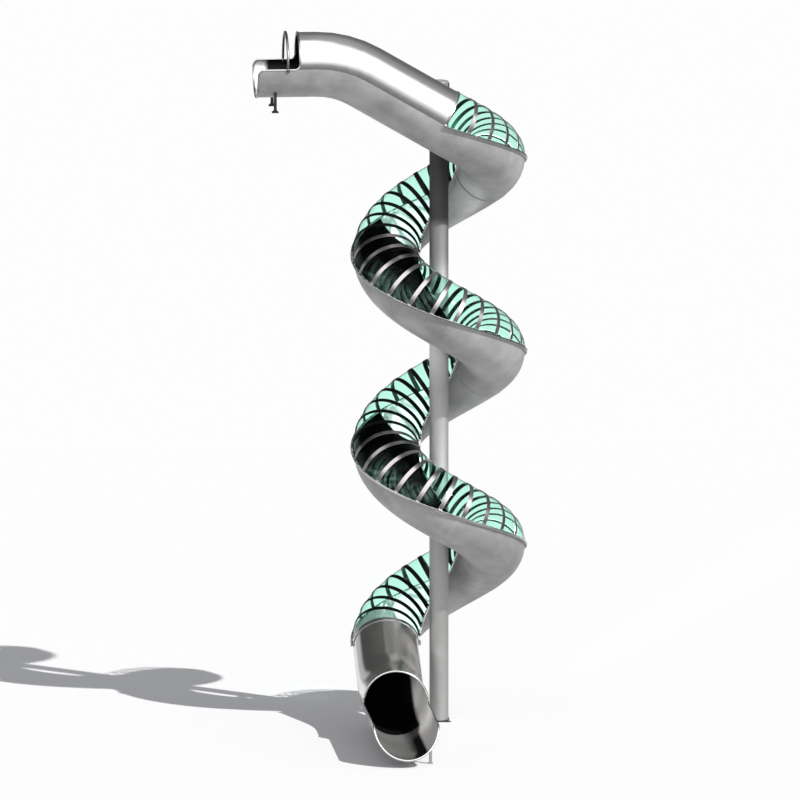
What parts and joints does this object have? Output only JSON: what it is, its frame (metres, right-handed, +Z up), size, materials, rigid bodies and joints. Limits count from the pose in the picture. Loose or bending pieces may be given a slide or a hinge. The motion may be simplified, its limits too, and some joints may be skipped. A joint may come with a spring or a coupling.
{
  "type": "spiral tube slide",
  "caption": "Tall spiral tube slide wound round a steel post, steel trough below and clear tinted cover with hoops above, covered entry with grab hoop and open run-out.",
  "frame": {"origin": "centre of the post's base plate on the ground", "axes": "+Z up along the post, +X the way a user enters at the top, -Y the way out at the ground"},
  "size_m": [3.4247, 4.5647, 8.8226],
  "materials": {
    "steel_sheet": "satin stainless sheet",
    "post": "dull steel pipe",
    "bar": "bright stainless bar",
    "clear_cover": "clear sheet with a pale green tint",
    "fixing": "dull steel"
  },
  "bodies": {
    "root": {"anchor_bolt_1": "fixing", "anchor_bolt_2": "fixing", "anchor_bolt_3": "fixing", "anchor_bolt_4": "fixing", "bracket_1": "fixing", "bracket_2": "fixing", "bracket_3": "fixing", "bracket_4": "fixing", "bracket_5": "fixing", "bracket_6": "fixing", "centre_post": "post", "cover_1": "clear_cover", "cover_2": "clear_cover", "cover_3": "clear_cover", "cover_4": "clear_cover", "cover_5": "clear_cover", "cover_6": "clear_cover", "cover_7": "clear_cover", "cover_8": "clear_cover", "cover_frame_1": "bar", "cover_frame_2": "bar", "cover_frame_3": "bar", "cover_frame_4": "bar", "cover_frame_5": "bar", "cover_frame_6": "bar", "cover_frame_7": "bar", "cover_frame_8": "bar", "entry_foot_left": "fixing", "entry_foot_right": "fixing", "entry_hood": "steel_sheet", "entry_rim_bead": "bar", "entry_trough": "steel_sheet", "exit_foot": "fixing", "exit_hood": "steel_sheet", "exit_rim_bead": "bar", "exit_trough": "steel_sheet", "grab_hoop": "bar", "joint_strap_1": "fixing", "joint_strap_2": "fixing", "joint_strap_3": "fixing", "joint_strap_4": "fixing", "joint_strap_5": "fixing", "joint_strap_6": "fixing", "joint_strap_7": "fixing", "post_base_plate": "post", "post_cap": "post", "trough_1": "steel_sheet", "trough_2": "steel_sheet", "trough_3": "steel_sheet", "trough_4": "steel_sheet", "trough_5": "steel_sheet", "trough_6": "steel_sheet", "trough_7": "steel_sheet", "trough_8": "steel_sheet"}
  },
  "joints": []
}
